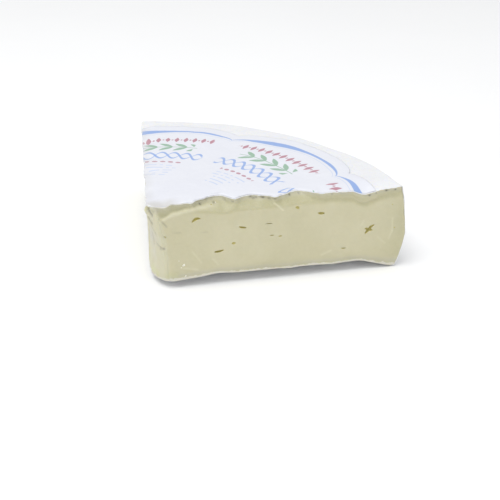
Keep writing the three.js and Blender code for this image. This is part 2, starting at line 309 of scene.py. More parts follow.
def bumps(places, distance):
    return sum(rise * bell(distance, at, width) for at, rise, width in places)


def edgeLift(edge, distance):
    # How far the rind's edge is pulled up, or hangs down where this is below 0
    lift = edge["lift"] * smoothStep(0, 10, distance) * (1 - smoothStep(*edge["fades"], distance))
    ragged = layeredNoise(distance[:, None] * alongFront, cheese["edgeRagged"], 70)
    lift = lift + ragged * smoothStep(2, 8, distance) + bumps(edge["dips"], distance)
    return lift * (1 - smoothStep(103, 112, distance))


def cutRelief(edge, distance, depth, z):
    # How far a place near a cut moves in, sags and is lifted off the board, as a share of the arch
    height = cheese["height"]
    lift = edgeLift(edge, distance)
    near = bell(depth, 0, cheese["reach"])
    sagging = bell(depth, 0, cheese["sagReach"]) * smoothStep(height - cheese["sagHeight"], height, z)
    patch, uneven = cheese["backUneven"]
    backHeight = cheese["backHeight"] + uneven * softNoise(distance[:, None] * alongFront, patch, 74)
    back = cheese["backPerLift"] * np.maximum(0, lift) * smoothStep(height - backHeight, height, z)
    bulge = edge["bulge"] * np.sqrt(np.maximum(0, archOver(z / height)))
    below = height + np.minimum(0, lift) - cheese["hollowBelow"] - z
    hollow = cheese["hollow"] * bell(below, 0, cheese["hollowHeight"])
    arch = edge["archAtPoint"] + (1 - edge["archAtPoint"]) * smoothStep(0, edge["archFull"], distance)
    arch = arch * (1 - smoothStep(*cheese["archFades"], distance))
    arch = arch + bumps(edge["foot"], distance) / cheese["archRise"]
    overLow, overHigh = cheese["overhangHeights"]
    over = edge["overhang"] * smoothStep(height - overLow, height - overHigh, z)
    inward = (back + hollow - bulge - over) * near
    return inward, np.minimum(0, lift) * sagging, arch * (1 - smoothStep(0, cheese["archDepth"], depth))


def slowWave(x, y):
    across, back, skew = cheese["waveLengths"]
    return np.sin(x / across + 0.6) * np.cos(y / back - 0.4) + 0.6 * np.sin((x - y) / skew)


def relax(places):
    # The sharp and rounded form after it was cut and moved: sagging edges and a hollow foot
    x, y, z = places.T
    height = cheese["height"]
    frontIn, frontSag, frontArch = cutRelief(cheese["front"], x, np.maximum(0, y), z)
    leftDepth = np.maximum(0, places @ leftInward)
    leftIn, leftSag, leftArch = cutRelief(cheese["left"], places @ alongLeft, leftDepth, z)
    arch = 1 - (1 - frontArch) * (1 - leftArch)
    rise = cheese["archRise"] * arch * np.maximum(0, 1 - z / cheese["archHeight"]) ** 2 + frontSag + leftSag
    rise += cheese["wave"] * slowWave(x, y) * smoothStep(height * cheese["waveFrom"], height, z)
    return places + frontInward * frontIn[:, None] + leftInward * leftIn[:, None] + upward * rise[:, None]


def toSegment(places, outward, start, end):
    # How far places are from a line; up to 2 mm above or below the surface don't count
    floating = 2.0
    start, end = np.array(start), np.array(end)
    share = np.clip((places - start) @ (end - start) / max(np.sum((end - start) ** 2), 1e-6), 0, 1)
    away = places - start - share[:, None] * (end - start)
    height = np.clip(np.sum(away * outward, axis=1), -floating, floating)
    return np.linalg.norm(away - outward * height[:, None], axis=1)


def rindDepths(shares, plain):
    # How deep places on the cuts lie under the rind, where the rind's edge ends at rindThickness
    along, across, _ = shares.T
    x, y, z = plain.T
    onLeft = across == 1
    thinner = cheese["rindThinner"]
    rimDepth = np.maximum(rimAt(cutAngle * across, z) - np.hypot(x, y), 0)
    front = thinner["frontAtPoint"] + (thinner["front"] - thinner["frontAtPoint"]) * smoothStep(6, 14, x)
    footShare = smoothStep(4, 24, along * cheese["topRadius"])
    foot = thinner["footAtPoint"] + (thinner["foot"] - thinner["footAtPoint"]) * footShare
    depth = np.minimum((cheese["height"] - z) * np.where(onLeft, thinner["left"], front), z * foot)
    return np.minimum(depth, rimDepth * np.where(onLeft, thinner["leftRim"], thinner["rim"])), rimDepth


def pasteRelief(places, fromPoint):
    size, depth = cheese["knifeDrag"]
    drags = softNoise(places, size, 20, cheese["dragStretch"])
    drags += softNoise(places, size * 2, 21, cheese["wideDragStretch"])
    nearPoint = bell(fromPoint, 0, cheese["pointReliefReach"])
    uneven = nearPoint * layeredNoise(places, cheese["pointRelief"], 30)
    return layeredNoise(places, cheese["pasteRelief"], 10) + depth * drags + uneven


def rindRelief(places, isSkin):
    size, depth = cheese["rimCreases"]
    folds = bell(softNoise(places, size * 1.7, 81, cheese["foldStretch"]), 0, cheese["foldWidth"])
    creases = depth * (softNoise(places, size, 80, cheese["creaseStretch"]) - folds)
    size, depth = cheese["rimPits"]
    creases -= depth * smoothStep(*cheese["pitLevels"], softNoise(places, size, 82))
    return layeredNoise(places, cheese["rindRelief"], 40) + creases * isSkin


def lipRelief(distance, topDepth, places):
    # The lip's height, the painted highlight on its edge, how strong it is and where the band of ripe paste
    # and painted shade above its edge is
    lip = cheese["lip"]
    edge = lip["down"] + lip["downAtPoint"] * np.exp(-(distance - lip["start"]) / lip["fade"])
    edge = edge + lip["uneven"] * softNoise(places, 5, 50)
    strength = 1 - smoothStep(*lip["ends"], distance)
    above = 1 - smoothStep(edge - 0.5, edge + 0.2, topDepth)
    sunk = lip["in"] * above * smoothStep(0.1, 0.8, topDepth)
    rolled = lip["out"] * bell(topDepth, edge + 0.7, 0.6)
    paintedHighlight = lip["paintedHighlight"] * bell(topDepth, edge + 0.8, 0.7)
    return (rolled - sunk) * strength, paintedHighlight * strength, strength, above


def patchShare(name, places, outward):
    patches = cheese[name]
    return sum(most * bell(toSegment(places, outward, at, at), 0, reach) for at, reach, most in patches)


def speckShare(plain, places, topDepth, rimDepth):
    # Dark specks on the front cut: the rind's edge and the rim
    total = np.zeros(len(plain))
    for at, down, length, darkness in cheese["specks"]:
        total += darkness * bell(plain[:, 0], at, length / 2) * bell(topDepth, cheese["edgeLine"] + down, 0.4)
    dotted = smoothStep(0.0, 0.5, softNoise(places, 1.6, 55)) * smoothStep(12, 22, plain[:, 2])
    return total + 0.5 * dotted * bell(rimDepth, 0.5, 0.45)


def fineRelief(shares, plain, places, outward):
    # What the plain form lacks, as heights along the normals and as attributes for the material
    along, across, _ = shares.T
    x, y, z = plain.T
    onFront, onLeft = across == 0, across == 1
    isCut = onFront | onLeft | (along == 0)
    isSkin = (along == 1) | (z == 0)
    fromPoint = along * cheese["topRadius"]
    topDepth = cheese["height"] - z
    edgeLine = cheese["edgeLine"]
    rindDepth, rimDepth = rindDepths(shares, plain)
    rind = rindRelief(places, isSkin * smoothStep(0, 3, topDepth))
    total = rind + (pasteRelief(places, fromPoint) - rind) * smoothStep(0.4, 1.6, rindDepth) * isCut

    # Ripe paste and painted shade: near the rim, under the rind's edge, and darker towards the foot
    uneven = cheese["ripeAndShadeUneven"] * softNoise(places, 5, 53)
    ripeAndShade = 0.9 * (1 - smoothStep(1, 14, rimDepth + 2 * uneven)) * (1 - 0.6 * smoothStep(24, 32, z))
    footShade = 0.5 + 0.5 * smoothStep(*cheese["footShadeStarts"], along)
    ripeAndShade = np.maximum(ripeAndShade, (1 - smoothStep(1.5, 7.5, z + uneven)) * footShade)
    ripeAndShadeEdge = 1 - smoothStep(*cheese["ripeAndShadeDown"], topDepth + uneven)
    edgeShadowBreaks = 0.35 + 0.65 * smoothStep(-0.3, 0.5, softNoise(places, 3.5, 54, (1, 1, 9)))
    shadeAndHighlight = np.zeros(len(places))
    specks = onFront * speckShare(plain, places, topDepth, rimDepth)
    for distance, mine in ((plain @ alongFront, onFront), (plain @ alongLeft, onLeft)):
        shape, paintedHighlight, strength, above = lipRelief(distance, topDepth, places)
        shape += cheese["rindEdgeOut"] * bell(topDepth, 0.3, 0.3) + cheese["footEdgeOut"] * bell(z, 0.9, 0.7)
        total += shape * mine
        shadeAndHighlight -= paintedHighlight * mine
        ripeAndShade = np.maximum(ripeAndShade, mine * np.maximum(above * strength, ripeAndShadeEdge * (1 - strength)))
        # A broken dark line just under the rind's edge: painted shadow
        specks += mine * 0.15 * edgeShadowBreaks * bell(topDepth, edgeLine, 0.35) * smoothStep(7, 12, distance)

    lines = zip(cheese["corner"], cheese["corner"][1:])
    corner = sum(bell(toSegment(places, outward, *line), 0, cheese["cornerWidth"]) for line in lines)
    total += cheese["cornerOut"] * np.minimum(corner, 1) * isCut
    # Dents and creases get painted shade, raised marks a painted highlight
    for start, end, width, depth, darkness in cheese["marks"]:
        share = bell(toSegment(places, outward, start, end), 0, width) * isCut
        total -= depth * share
        shadeAndHighlight += darkness * share

    grey = patchShare("grey", places, outward) * isCut + 0.5 * onFront * bell(z, 3.0, 1.3)
    # A grey line just under the rind's edge: painted shadow
    grey += 0.5 * onFront * bell(topDepth, edgeLine, 0.8) * smoothStep(6, 12, x)
    # Painted shade: paste that slopes up to the rind is darker, and so is a line above the foot's rind
    slope = smoothStep(0.0, 0.6, outward[:, 2]) * smoothStep(15, 25, z)
    footLine = bell(z, 2.7, 1.0) * (0.6 + 0.3 * softNoise(places, 6, 56)) * smoothStep(2, 10, x)
    # The rind's cut edge is creamy at the foot and at the point
    cream = np.maximum(1 - smoothStep(3, 6, z), 0.9 - 0.9 * smoothStep(9, 20, np.hypot(x, y)))
    return total, {
        "rindDepth": rindDepth * isCut,
        "facetShare": np.where(along == 0, 1.0, bell(fromPoint, 0, 1.2)) * isCut,
        "ripeAndShadeShare": ripeAndShade * isCut,
        "shadeAndHighlightShare": shadeAndHighlight,
        "speckShare": specks,
        "slopeShare": np.maximum(slope, footLine) * isCut,
        "greenShare": patchShare("green", places, outward) * isCut,
        "greyShare": grey,
        "creamShare": cream * isCut,
        "rimShare": isSkin * (0.6 + 0.4 * softNoise(places, 12, 57)),
    }


def cheeseSurface():
    shares, quads = boxLattice(cheese["rows"], cheese["crowding"])
    along, across, up = shares.T
    plain = sharpPlace(across, along, up)
    places = relax(roundEdges(plain, along))
    outward = cornerNormals(places, quads)
    relief, looks = fineRelief(shares, plain, places, outward)
    places = places + outward * relief[:, None]
    return {"shares": shares, "quads": quads, "places": places, "looks": looks}


surface = cheeseSurface()
low, high = surface["places"].min(0), surface["places"].max(0)
cheeseLow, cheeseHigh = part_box("cheese")
origin = np.array([
    (cheeseLow.x + cheeseHigh.x) / 2 / mm - (low[0] + high[0]) / 2,
    (cheeseLow.y + cheeseHigh.y) / 2 / mm - (low[1] + high[1]) / 2,
    cheeseLow.z / mm - low[2],
])
print("cheese form:", len(surface["places"]), "points, origin", origin.round(3).tolist())

# What lies on or in the two cuts: which side of the form it is, the way along it and the way in

cuts = {"front": (0, alongFront, frontInward), "left": (1, alongLeft, leftInward)}


def addBall(body, cut, along, up, halves, turnDegrees, arching, lumps, seed):
    # A lumpy ball flattened to halves (along the cut, into it, up), turned in the cut's plane and arched
    side, alongCut, inward = cuts[cut]
    face = surface["places"][surface["shares"][:, 1] == side]
    middle = face[np.argmin(np.hypot(face @ alongCut - along, face[:, 2] - up))]
    ball = bmesh.new()
    bmesh.ops.create_icosphere(ball, subdivisions=3, radius=1)
    points = np.array([v.co for v in ball.verts])
    size, height = lumps
    points *= 1 + height * softNoise(points * 10, size, seed)[:, None]
    x, y, z = (points * np.array(halves)).T
    z = z + arching * (x * x - halves[0] ** 2 / 3)
    turn = math.radians(turnDegrees)
    u = x * math.cos(turn) - z * math.sin(turn)
    v = x * math.sin(turn) + z * math.cos(turn)
    points = middle + alongCut * u[:, None] + inward * y[:, None] + upward * v[:, None]
    start = len(body["places"])
    body["places"] += points.tolist()
    body["faces"] += [[start + v.index for v in f.verts] for f in ball.faces]
    ball.free()


# The eyes in the two cuts

eyes = {
    # Place along the front cut, height, width, tallness, turn in degrees, arching
    "front": [
        (18.7, 29.8, 3.7, 1.25, 24, -0.24), (38.1, 25.1, 3.3, 0.8, -13, 0.06), (34.0, 18.5, 1.6, 1.1, 0, 0),
        (28.1, 15.4, 3.9, 1.0, 7, 0.06), (61.0, 31.6, 1.7, 1.2, -25, 0), (70.7, 28.2, 2.9, 1.1, -5, 0.04),
        (91.7, 19.0, 4.7, 1.35, 46, 0), (53.5, 19.8, 1.7, 0.55, 0, 0), (50.3, 20.0, 2.1, 0.35, 2, 0),
        (81.2, 11.2, 2.2, 0.5, -3, 0), (48.9, 25.4, 3.4, 0.3, 0, -0.05), (6.3, 23.5, 1.0, 0.4, -30, 0),
        (101.6, 29.3, 0.6, 0.5, 0, 0), (103.0, 18.8, 0.6, 0.6, 0, 0), (25.9, 34.6, 0.9, 0.5, 15, 0),
    ],
    # Two more holes that cross the large one make its star
    "crossing": [(91.7, 19.1, 3.7, 1.1, -22, 0), (92.8, 20.2, 2.8, 0.75, 22, 0)],
    # The left cut's eyes are drawn at random within these
    "leftCount": 15, "leftAlong": (22, 101), "leftUp": (9, 31), "leftWide": (1.2, 4.4),
    "flatness": (0.22, 0.5), "leftTurn": (-22, 22), "leftArching": (-0.1, 0.1), "seed": 11,
    "depth": 0.26, "lumps": (8, 0.16),
}


def eyeCutter(name, seed, **specs):
    body = {"places": [], "faces": []}
    for cut, balls in specs.items():
        for i, (along, up, wide, tall, turn, arching) in enumerate(balls):
            halves = (wide / 2, wide * eyes["depth"], tall / 2)
            addBall(body, cut, along, up, halves, turn, arching, eyes["lumps"], seed + i)
    cutter = makeMesh(name, np.array(body["places"]), body["faces"], origin)
    volume = bmesh.new()
    volume.from_mesh(cutter.data)
    bmesh.ops.recalc_face_normals(volume, faces=volume.faces)
    volume.to_mesh(cutter.data)
    volume.free()
    return cutter


def scatteredEyes():
    draw = np.random.default_rng(eyes["seed"])
    span = eyes["leftAlong"][1] - eyes["leftAlong"][0]
    specs = []
    for i in range(eyes["leftCount"]):
        wide = draw.uniform(*eyes["leftWide"])
        along = eyes["leftAlong"][0] + span * (i + draw.uniform(0.2, 0.8)) / eyes["leftCount"]
        up = draw.uniform(*eyes["leftUp"])
        tall = wide * draw.uniform(*eyes["flatness"])
        turn = draw.uniform(*eyes["leftTurn"])
        specs.append((along, up, wide, tall, turn, draw.uniform(*eyes["leftArching"])))
    return specs


# Shader helpers and shared effects


def setInputs(tree, node, inputs):
    for socket, value in inputs.items():
        if isinstance(value, bpy.types.NodeSocket):
            tree.links.new(value, node.inputs[socket])
        else:
            node.inputs[socket].default_value = value


def addNode(tree, kind, inputs=None, **settings):
    node = tree.nodes.new(kind)
    for name, value in settings.items():
        setattr(node, name, value)
    setInputs(tree, node, inputs or {})
    return node


def calc(tree, operation, *values, clamp=False):
    inputs = dict(enumerate(values))
    return addNode(tree, "ShaderNodeMath", inputs, operation=operation, use_clamp=clamp).outputs[0]


def spread(tree, value, low, high):
    # Takes 0 to low and 1 to high
    return calc(tree, "MULTIPLY_ADD", value, high - low, low)


def ease(tree, value, start, end):
    # 0 below start, 1 above end; the other way round when end is below start
    flip = 0.0
    if end < start:
        start, end, flip = end, start, 1.0
    inputs = {"Value": value, "From Min": start, "From Max": end, "To Min": flip, "To Max": 1 - flip}
    return addNode(tree, "ShaderNodeMapRange", inputs, interpolation_type="SMOOTHSTEP").outputs[0]


def blendValue(tree, share, first, second):
    return addNode(tree, "ShaderNodeMix", {0: share, 2: first, 3: second}).outputs[0]


def blendColour(tree, share, first, second):
    # Colours are sockets or have three values
    first, second = (c if isinstance(c, bpy.types.NodeSocket) else (*c, 1) for c in (first, second))
    return addNode(tree, "ShaderNodeMix", {0: share, 6: first, 7: second}, data_type="RGBA").outputs[2]


def addNoise(tree, place, scale, detail, roughness=0.5):
    inputs = {"Vector": place, "Scale": scale, "Detail": detail, "Roughness": roughness}
    return addNode(tree, "ShaderNodeTexNoise", inputs).outputs[0]


def attributeValue(tree, name):
    return addNode(tree, "ShaderNodeAttribute", attribute_name=name).outputs["Fac"]


def placeInMm(tree):
    metres = addNode(tree, "ShaderNodeTexCoord").outputs["Object"]
    scale = (1 / mm, 1 / mm, 1 / mm)
    return addNode(tree, "ShaderNodeVectorMath", {0: metres, 1: scale}, operation="MULTIPLY").outputs[0]


def newGroup(name, inputs, outputs):
    # Inputs and outputs are lists of names for each kind of socket
    group = bpy.data.node_groups.new(name, "ShaderNodeTree")
    for side, kinds in (("INPUT", inputs), ("OUTPUT", outputs)):
        for kind, labels in kinds.items():
            for label in labels:
                group.interface.new_socket(name=label, in_out=side, socket_type="NodeSocket" + kind)
    return group, group.nodes.new("NodeGroupInput").outputs, group.nodes.new("NodeGroupOutput").inputs


def buildSoftMottle():
    # Two colours that drift into each other in large and small patches
    group, given, result = newGroup(
        "softMottle",
        {"Vector": ["Place"], "Float": ["Patch Size", "Speck Size", "Speck Share"],
         "Color": ["First", "Second"]},
        {"Color": ["Color"], "Float": ["Mask"]},
    )
    large = addNoise(group, given["Place"], calc(group, "DIVIDE", 1.0, given["Patch Size"]), 3.0, 0.55)
    small = addNoise(group, given["Place"], calc(group, "DIVIDE", 1.0, given["Speck Size"]), 2.0, 0.6)
    large, small = ease(group, large, 0.32, 0.68), ease(group, small, 0.3, 0.7)
    mask = blendValue(group, given["Speck Share"], large, small)
    group.links.new(mask, result["Mask"])
    group.links.new(blendColour(group, mask, given["First"], given["Second"]), result["Color"])
    return group


def buildFineGrain():
    # A height made of soft lumps and fine grain
    group, given, result = newGroup(
        "fineGrain",
        {"Vector": ["Place"], "Float": ["Lump Size", "Grain Size", "Grain Share"]},
        {"Float": ["Height"]},
    )
    lumps = addNoise(group, given["Place"], calc(group, "DIVIDE", 1.0, given["Lump Size"]), 2.0)
    grain = addNoise(group, given["Place"], calc(group, "DIVIDE", 1.0, given["Grain Size"]), 3.0, 0.65)
    group.links.new(blendValue(group, given["Grain Share"], lumps, grain), result["Height"])
    return group


def buildPrintedBand():
    # A printed line: 1 between two distances, with soft edges
    group, given, result = newGroup(
        "printedBand",
        {"Float": ["Distance", "Start", "Width", "Softness"]},
        {"Float": ["Mask"]},
    )
    past = calc(group, "SUBTRACT", given["Distance"], given["Start"])
    left = calc(group, "SUBTRACT", given["Width"], past)
    masks = [calc(group, "DIVIDE", side, given["Softness"], clamp=True) for side in (past, left)]
    group.links.new(calc(group, "MULTIPLY", *masks), result["Mask"])
    return group


def buildRingMotif():
    # A row of tilted drops on a ring: lozenges, beads or leaves
    group, given, result = newGroup(
        "ringMotif",
        {"Float": ["Radius", "Angle", "Ring", "Step", "Count", "Shift", "Half Width", "Half Height",
                   "Tilt", "Power"]},
        {"Float": ["Mask"]},
    )
    # Whole turns are added, so that the share of a step is never counted from below 0
    turns = calc(group, "DIVIDE", calc(group, "MULTIPLY", given["Angle"], given["Count"]), 2 * math.pi)
    turns = calc(group, "ADD", turns, calc(group, "ADD", given["Shift"], 100.0))
    u = calc(group, "MULTIPLY", calc(group, "SUBTRACT", calc(group, "FRACT", turns), 0.5), given["Step"])
    v = calc(group, "SUBTRACT", given["Radius"], given["Ring"])
    sine, cosine = calc(group, "SINE", given["Tilt"]), calc(group, "COSINE", given["Tilt"])
    across = calc(group, "MULTIPLY_ADD", u, cosine, calc(group, "MULTIPLY", v, sine))
    up = calc(group, "SUBTRACT", calc(group, "MULTIPLY", v, cosine), calc(group, "MULTIPLY", u, sine))
    parts = []
    for reach, half in ((across, "Half Width"), (up, "Half Height")):
        share = calc(group, "ABSOLUTE", calc(group, "DIVIDE", reach, given[half]))
        parts.append(calc(group, "POWER", share, given["Power"]))
    group.links.new(ease(group, calc(group, "ADD", *parts), 1.15, 0.8), result["Mask"])
    return group


softMottle, fineGrain = buildSoftMottle(), buildFineGrain()
printedBand, ringMotif = buildPrintedBand(), buildRingMotif()


def useGroup(tree, group, inputs):
    return addNode(tree, "ShaderNodeGroup", inputs, node_tree=group).outputs


def mottled(tree, place, sizes, first, second):
    # Sizes: of the patches, of the specks, and the share of the specks
    patch, speckAndEdgeShadow, share = sizes
    return useGroup(tree, softMottle, {
        "Place": place, "Patch Size": patch, "Speck Size": speckAndEdgeShadow, "Speck Share": share,
        "First": (*first, 1), "Second": (*second, 1)})


def grained(tree, place, lump, grain, share):
    inputs = {"Place": place, "Lump Size": lump, "Grain Size": grain, "Grain Share": share}
    return useGroup(tree, fineGrain, inputs)["Height"]


def newMaterial(name):
    material = bpy.data.materials.new(name)
    material.use_nodes = True
    tree = material.node_tree
    return material, tree, tree.nodes["Principled BSDF"]


def bumpNormal(tree, height, strength, distance):
    inputs = {"Strength": strength, "Distance": distance, "Height": height}
    return addNode(tree, "ShaderNodeBump", inputs).outputs[0]


# The cheese: paste and rind

cheeseLook = {
    "paste": (0.645, 0.607, 0.42), "pasteDeep": (0.60, 0.565, 0.378), "ripeAndShade": (0.525, 0.50, 0.315),
    "facet": (0.645, 0.62, 0.45), "creaseShade": (0.30, 0.285, 0.21), "highlightColour": (0.80, 0.77, 0.60),
    "slope": (0.40, 0.38, 0.215), "green": (0.60, 0.62, 0.33), "grey": (0.62, 0.60, 0.54),
    "rind": (0.79, 0.795, 0.81), "rindShade": (0.755, 0.76, 0.775), "rindCream": (0.74, 0.71, 0.61),
    "rindFoot": (0.71, 0.685, 0.59), "speckAndEdgeShadow": (0.13, 0.12, 0.09),
    # The eye walls are a darker, yellower copy of the paste: painted shade inside the holes
    "eyeWall": (0.60, 0.54, 0.22), "eyeDeep": (0.50, 0.44, 0.15),
    # How much of each tint shows where its attribute is 1, from the lowest layer up
    "tints": {"ripeAndShade": 0.9, "slope": 0.7, "facet": 1.0, "grey": 0.8, "green": 0.8},
    "rindThickness": 1.15, "ragged": 0.8, "raggedScale": 0.55,
    "pasteRoughness": (0.42, 0.54), "rindRoughness": 0.85, "eyeRoughness": (0.3, 0.5),
    "subsurface": 0.2, "subsurfaceRadius": (1.0, 0.8, 0.45), "subsurfaceScale": 0.0025,
}


def tintedPaste(tree, colour, patches):
    patchy = spread(tree, patches, 0.6, 1.0)
    for name, most in cheeseLook["tints"].items():
        share = calc(tree, "MULTIPLY", attributeValue(tree, name + "Share"), patchy)
        colour = blendColour(tree, calc(tree, "MULTIPLY", share, most, clamp=True), colour, cheeseLook[name])
    return colour


def rindColour(tree, place, patches):
    rind = mottled(tree, place, (9.0, 0.9, 0.35), cheeseLook["rind"], cheeseLook["rindShade"])["Color"]
    mostCream = spread(tree, attributeValue(tree, "rimShare"), 0.2, 0.8)
    cream = calc(tree, "MULTIPLY", ease(tree, patches, 0.5, 0.85), mostCream)
    rind = blendColour(tree, cream, rind, cheeseLook["rindCream"])
    return blendColour(tree, attributeValue(tree, "creamShare"), rind, cheeseLook["rindFoot"])


def buildCheeseMaterial():
    material, tree, shader = newMaterial("pasteAndRind")
    place = placeInMm(tree)
    patches = mottled(tree, place, (4.0, 0.7, 0.5), (0, 0, 0), (1, 1, 1))["Mask"]
    paste = mottled(tree, place, (16.0, 1.3, 0.3), cheeseLook["paste"], cheeseLook["pasteDeep"])
    shadeAndHighlight = attributeValue(tree, "shadeAndHighlightShare")
    colour = tintedPaste(tree, paste["Color"], patches)
    # Painted highlights on raised marks and on the lip's edge
    paintedHighlight = calc(tree, "MULTIPLY", shadeAndHighlight, -1.0, clamp=True)
    colour = blendColour(tree, paintedHighlight, colour, cheeseLook["highlightColour"])

    uneven = addNoise(tree, place, cheeseLook["raggedScale"], 3.0)
    ragged = spread(tree, uneven, -cheeseLook["ragged"], cheeseLook["ragged"])
    thickness = cheeseLook["rindThickness"]
    depth = calc(tree, "ADD", attributeValue(tree, "rindDepth"), ragged)
    isRind = ease(tree, depth, thickness + 0.15, thickness - 0.15)
    colour = blendColour(tree, isRind, colour, rindColour(tree, place, patches))

    # Painted shade in creases and dents
    creaseShadeShare = calc(tree, "MULTIPLY", shadeAndHighlight, spread(tree, patches, 0.45, 0.95), clamp=True)
    colour = blendColour(tree, creaseShadeShare, colour, cheeseLook["creaseShade"])
    # Dark specks, and the painted shadow line under the rind's edge
    specks = attributeValue(tree, "speckShare")
    specks = calc(tree, "MULTIPLY", specks, spread(tree, patches, 0.35, 1.35), clamp=True)
    colour = blendColour(tree, specks, colour, cheeseLook["speckAndEdgeShadow"])

    gloss = spread(tree, paste["Mask"], *cheeseLook["pasteRoughness"])
    pasteHeight = calc(tree, "MULTIPLY", grained(tree, place, 2.2, 0.5, 0.25), 0.6)
    height = blendValue(tree, isRind, pasteHeight, grained(tree, place, 1.2, 0.35, 0.5))
    setInputs(tree, shader, {
        "Base Color": colour,
        "Roughness": blendValue(tree, isRind, gloss, cheeseLook["rindRoughness"]),
        "Normal": bumpNormal(tree, height, 0.5, 0.00035),
        "Subsurface Weight": cheeseLook["subsurface"],
        "Subsurface Radius": cheeseLook["subsurfaceRadius"],
        "Subsurface Scale": cheeseLook["subsurfaceScale"],
    })
    return material


def buildEyeMaterial():
    material, tree, shader = newMaterial("eyeWall")
    place = placeInMm(tree)
    # Painted shade inside the holes: darker and yellower than the paste
    wall = mottled(tree, place, (1.6, 0.5, 0.4), cheeseLook["eyeWall"], cheeseLook["eyeDeep"])
    setInputs(tree, shader, {
        "Base Color": wall["Color"],
        "Roughness": spread(tree, wall["Mask"], *cheeseLook["eyeRoughness"]),
        "Normal": bumpNormal(tree, grained(tree, place, 0.9, 0.3, 0.4), 0.5, 0.0002),
    })
    return material


pasteAndRind, eyeWall = buildCheeseMaterial(), buildEyeMaterial()


def cutEyes(wedge, cutter):
    cutter.data.materials.append(pasteAndRind)
    cutter.data.materials.append(eyeWall)
    cutter.data.polygons.foreach_set("material_index", np.ones(len(cutter.data.polygons), np.int32))
    modifier = wedge.modifiers.new("eyes", "BOOLEAN")
    modifier.operation = "DIFFERENCE"
    modifier.solver = "MANIFOLD"
    modifier.object = cutter
    bpy.context.view_layer.update()
    cut = bpy.data.meshes.new_from_object(wedge.evaluated_get(bpy.context.evaluated_depsgraph_get()))
    wedge.modifiers.clear()
    wedge.data = cut
    bpy.data.objects.remove(cutter)


def spreadLooks(wedge):
    # The boolean renumbers the points, so each one takes the looks of the nearest point of the surface
    points = np.empty(len(wedge.data.vertices) * 3, np.float32)
    wedge.data.vertices.foreach_get("co", points)
    tree = KDTree(len(surface["places"]))
    for i, place in enumerate(((surface["places"] + origin) * mm).tolist()):
        tree.insert(place, i)
    tree.balance()
    nearest = np.array([tree.find(point)[1] for point in points.reshape(-1, 3).tolist()])
    for name, values in surface["looks"].items():
        setAttribute(wedge, name, values[nearest])


def sharpenEyes(mesh):
    shape = bmesh.new()
    shape.from_mesh(mesh)
    for edge in shape.edges:
        if len({face.material_index for face in edge.link_faces}) > 1:
            edge.smooth = False
    shape.to_mesh(mesh)
    shape.free()


def buildCheese():
    wedge = makeMesh("cheeseWedge", surface["places"], surface["quads"], origin)
    wedge.data.materials.append(pasteAndRind)
    wedge.data.materials.append(eyeWall)
    cutEyes(wedge, eyeCutter("eyeCutter", 100, front=eyes["front"], left=scatteredEyes()))
    cutEyes(wedge, eyeCutter("crossCutter", 200, front=eyes["crossing"][:1]))
    cutEyes(wedge, eyeCutter("thirdCutter", 300, front=eyes["crossing"][1:]))
    wedge.data.shade_smooth()
    spreadLooks(wedge)
    sharpenEyes(wedge.data)
    wallFaces = sum(face.material_index == 1 for face in wedge.data.polygons)
    print("cheese:", len(wedge.data.polygons), "faces, eye walls", wallFaces)
    return wedge


wedge = buildCheese()
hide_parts("cheese")
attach(wedge, "root")

# Pale glossy lumps on the front cut where glints of light fall: painted highlights

glints = {
    # Place along the front cut, height, length, height of the lump, turn in degrees
    "places": [(13.3, 10.2, 1.35, 0.85, 35), (14.3, 5.4, 0.85, 0.6, 20), (11.5, 12.1, 0.45, 0.35, 0),
               (12.2, 9.4, 0.5, 0.35, 50), (27.8, 34.6, 0.45, 0.35, 30)],
    "standsOut": 0.3, "lumps": (7, 0.35), "seed": 300,
    "colour": (0.90, 0.89, 0.80), "shade": (0.84, 0.82, 0.70), "roughness": 0.3,
}


def buildGlints():
    body = {"places": [], "faces": []}
    for i, (along, up, long, tall, turn) in enumerate(glints["places"]):
        halves = (long / 2, glints["standsOut"], tall / 2)
        addBall(body, "front", along, up, halves, turn, 0, glints["lumps"], glints["seed"] + i)
    piece = makeMesh("glintLumps", np.array(body["places"]), body["faces"], origin)
    material, tree, shader = newMaterial("glintLumpMaterial")
    mottle = mottled(tree, placeInMm(tree), (0.8, 0.3, 0.4), glints["colour"], glints["shade"])
    setInputs(tree, shader, {"Base Color": mottle["Color"], "Roughness": glints["roughness"]})
    piece.data.materials.append(material)
    return piece


glintLumps = buildGlints()
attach(glintLumps, "root")
print("crumbs:", len(glintLumps.data.polygons), "faces")

# The label

